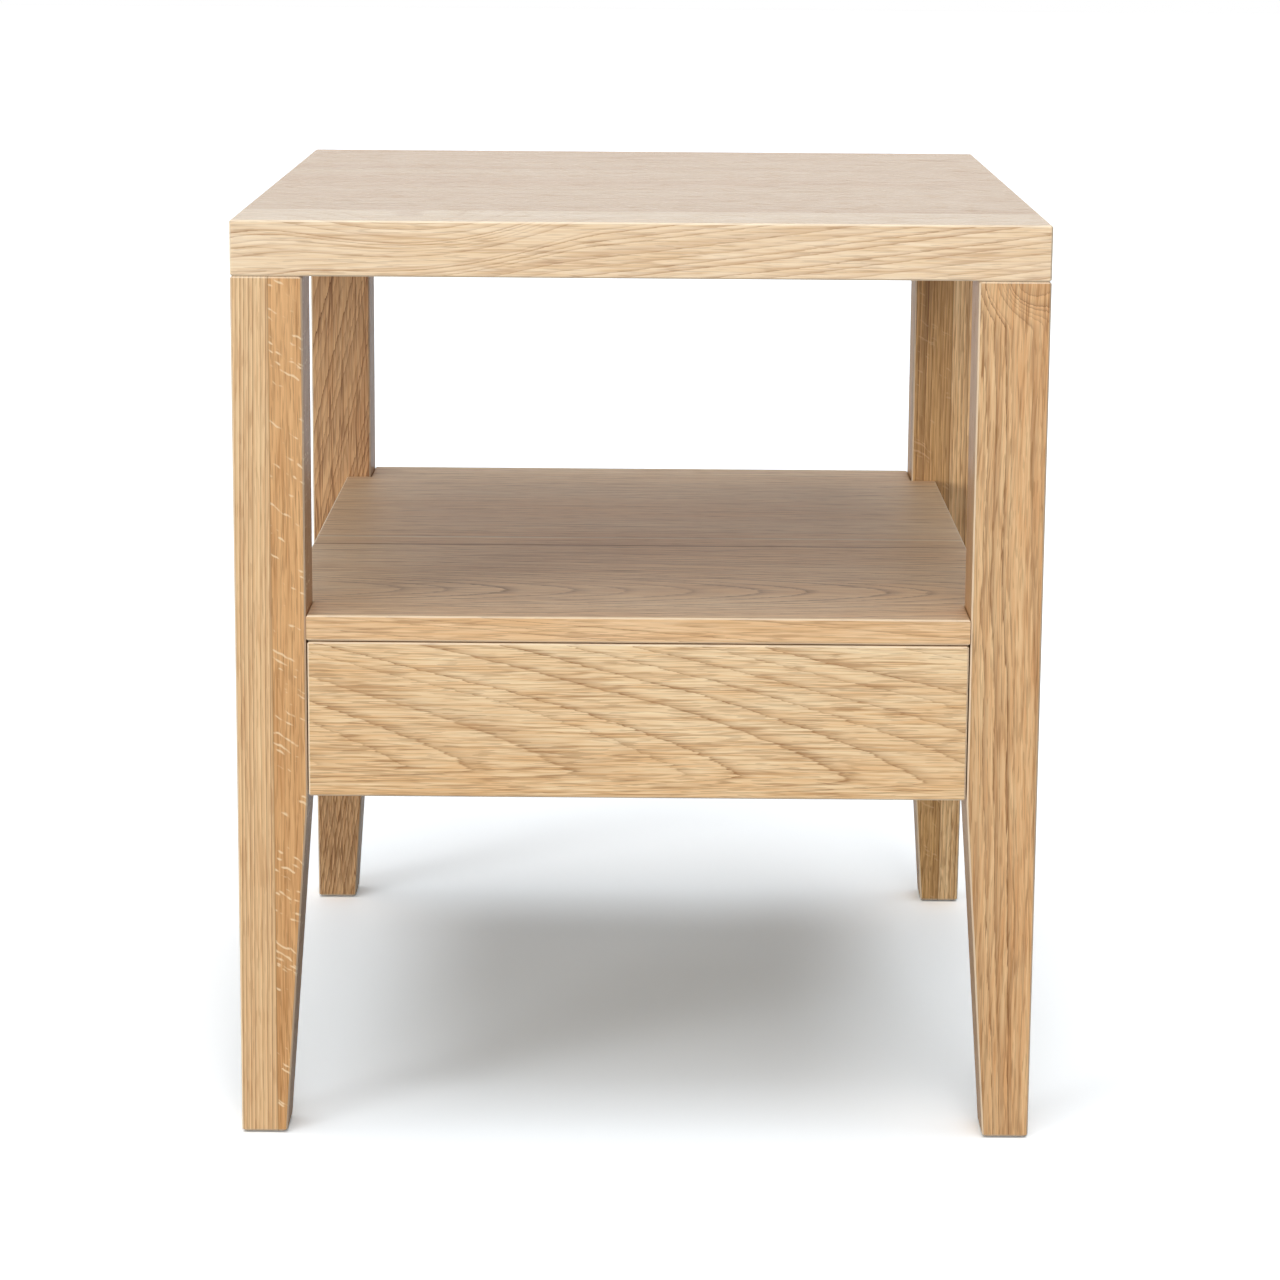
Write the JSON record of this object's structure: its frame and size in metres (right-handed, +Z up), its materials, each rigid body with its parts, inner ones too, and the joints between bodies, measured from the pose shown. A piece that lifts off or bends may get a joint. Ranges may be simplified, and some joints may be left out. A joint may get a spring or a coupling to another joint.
{
  "type": "side table with drawer",
  "caption": "Rectangular oak side table on tapered corner legs, with a thick flat top, an open shelf and a flush, handleless drawer that runs on full extension ball slides under the shelf.",
  "frame": {"origin": "on the floor, under the middle of the table, midway between the outer faces of the legs", "axes": "+Z up, -Y towards the user in front of the drawer, +X to the right when seen from the front; the drawer pulls out along -Y"},
  "size_m": [0.5, 0.6, 0.58],
  "materials": {
    "oak_top": "sanded oak with a clear matt oil",
    "oak_shelf": "sanded oak with a clear matt oil",
    "oak": "sanded oak with a clear matt oil",
    "birch": "planed birch, lacquered",
    "birch_plywood": "sanded plywood",
    "beech_dowel": "plain turned beech",
    "zinc_steel": "bright zinc plated cold rolled steel",
    "screw_steel": "zinc plated steel with a pale yellow passivation",
    "nylon": "moulded nylon, matt"
  },
  "bodies": {
    "frame": {"top_panel": "oak_top", "shelf_panel": "oak_shelf", "back_rail": "oak", "side_rail_left": "oak", "side_rail_right": "oak", "leg_front_left": "oak", "leg_front_right": "oak", "leg_rear_left": "oak", "leg_rear_right": "oak", "glide_front_left": "nylon", "glide_front_right": "nylon", "glide_rear_left": "nylon", "glide_rear_right": "nylon", "leg_front_left_dowel_near": "beech_dowel", "leg_front_left_dowel_far": "beech_dowel", "leg_front_right_dowel_near": "beech_dowel", "leg_front_right_dowel_far": "beech_dowel", "leg_rear_left_dowel_near": "beech_dowel", "leg_rear_left_dowel_far": "beech_dowel", "leg_rear_right_dowel_near": "beech_dowel", "leg_rear_right_dowel_far": "beech_dowel", "shelf_dowel_left_1": "beech_dowel", "shelf_dowel_left_2": "beech_dowel", "shelf_dowel_left_3": "beech_dowel", "shelf_dowel_right_1": "beech_dowel", "shelf_dowel_right_2": "beech_dowel", "shelf_dowel_right_3": "beech_dowel", "shelf_dowel_back_1": "beech_dowel", "shelf_dowel_back_2": "beech_dowel", "slide_cabinet_member_left": "zinc_steel", "slide_cabinet_member_right": "zinc_steel", "cabinet_screw_left_1": "screw_steel", "cabinet_screw_left_2": "screw_steel", "cabinet_screw_left_3": "screw_steel", "cabinet_screw_right_1": "screw_steel", "cabinet_screw_right_2": "screw_steel", "cabinet_screw_right_3": "screw_steel"},
    "drawer": {"drawer_front": "oak", "drawer_box_front": "birch", "drawer_box_back": "birch", "drawer_side_left": "birch", "drawer_side_right": "birch", "drawer_bottom": "birch_plywood", "front_screw_left_lower": "screw_steel", "front_screw_left_upper": "screw_steel", "front_screw_right_lower": "screw_steel", "front_screw_right_upper": "screw_steel", "slide_drawer_member_left": "zinc_steel", "slide_drawer_member_right": "zinc_steel", "drawer_screw_left_1": "screw_steel", "drawer_screw_left_2": "screw_steel", "drawer_screw_right_1": "screw_steel", "drawer_screw_right_2": "screw_steel"},
    "middle_member_left": {"slide_middle_member_left": "zinc_steel"},
    "middle_member_right": {"slide_middle_member_right": "zinc_steel"},
    "outer_cage_left": {"slide_outer_cage_left": "zinc_steel"},
    "outer_cage_right": {"slide_outer_cage_right": "zinc_steel"},
    "inner_cage_left": {"slide_inner_cage_left": "zinc_steel"},
    "inner_cage_right": {"slide_inner_cage_right": "zinc_steel"}
  },
  "joints": [
    {"name": "drawer_slide", "type": "slide", "parent": "frame", "child": "drawer", "axis": [0, -1, 0], "range_m": [0, 0.5]},
    {"name": "middle_slide_left", "type": "slide", "parent": "frame", "child": "middle_member_left", "axis": [0, -1, 0], "range_m": [0, 0.25]},
    {"name": "middle_slide_right", "type": "slide", "parent": "frame", "child": "middle_member_right", "axis": [0, -1, 0], "range_m": [0, 0.25]},
    {"name": "outer_cage_run_left", "type": "slide", "parent": "frame", "child": "outer_cage_left", "axis": [0, -1, 0], "range_m": [0, 0.125]},
    {"name": "outer_cage_run_right", "type": "slide", "parent": "frame", "child": "outer_cage_right", "axis": [0, -1, 0], "range_m": [0, 0.125]},
    {"name": "inner_cage_run_left", "type": "slide", "parent": "frame", "child": "inner_cage_left", "axis": [0, -1, 0], "range_m": [0, 0.375]},
    {"name": "inner_cage_run_right", "type": "slide", "parent": "frame", "child": "inner_cage_right", "axis": [0, -1, 0], "range_m": [0, 0.375]}
  ],
  "couplings": [
    {"joint": "middle_slide_left", "follows": "drawer_slide", "ratio": 0.5},
    {"joint": "middle_slide_right", "follows": "drawer_slide", "ratio": 0.5},
    {"joint": "outer_cage_run_left", "follows": "drawer_slide", "ratio": 0.25},
    {"joint": "outer_cage_run_right", "follows": "drawer_slide", "ratio": 0.25},
    {"joint": "inner_cage_run_left", "follows": "drawer_slide", "ratio": 0.75},
    {"joint": "inner_cage_run_right", "follows": "drawer_slide", "ratio": 0.75}
  ]
}
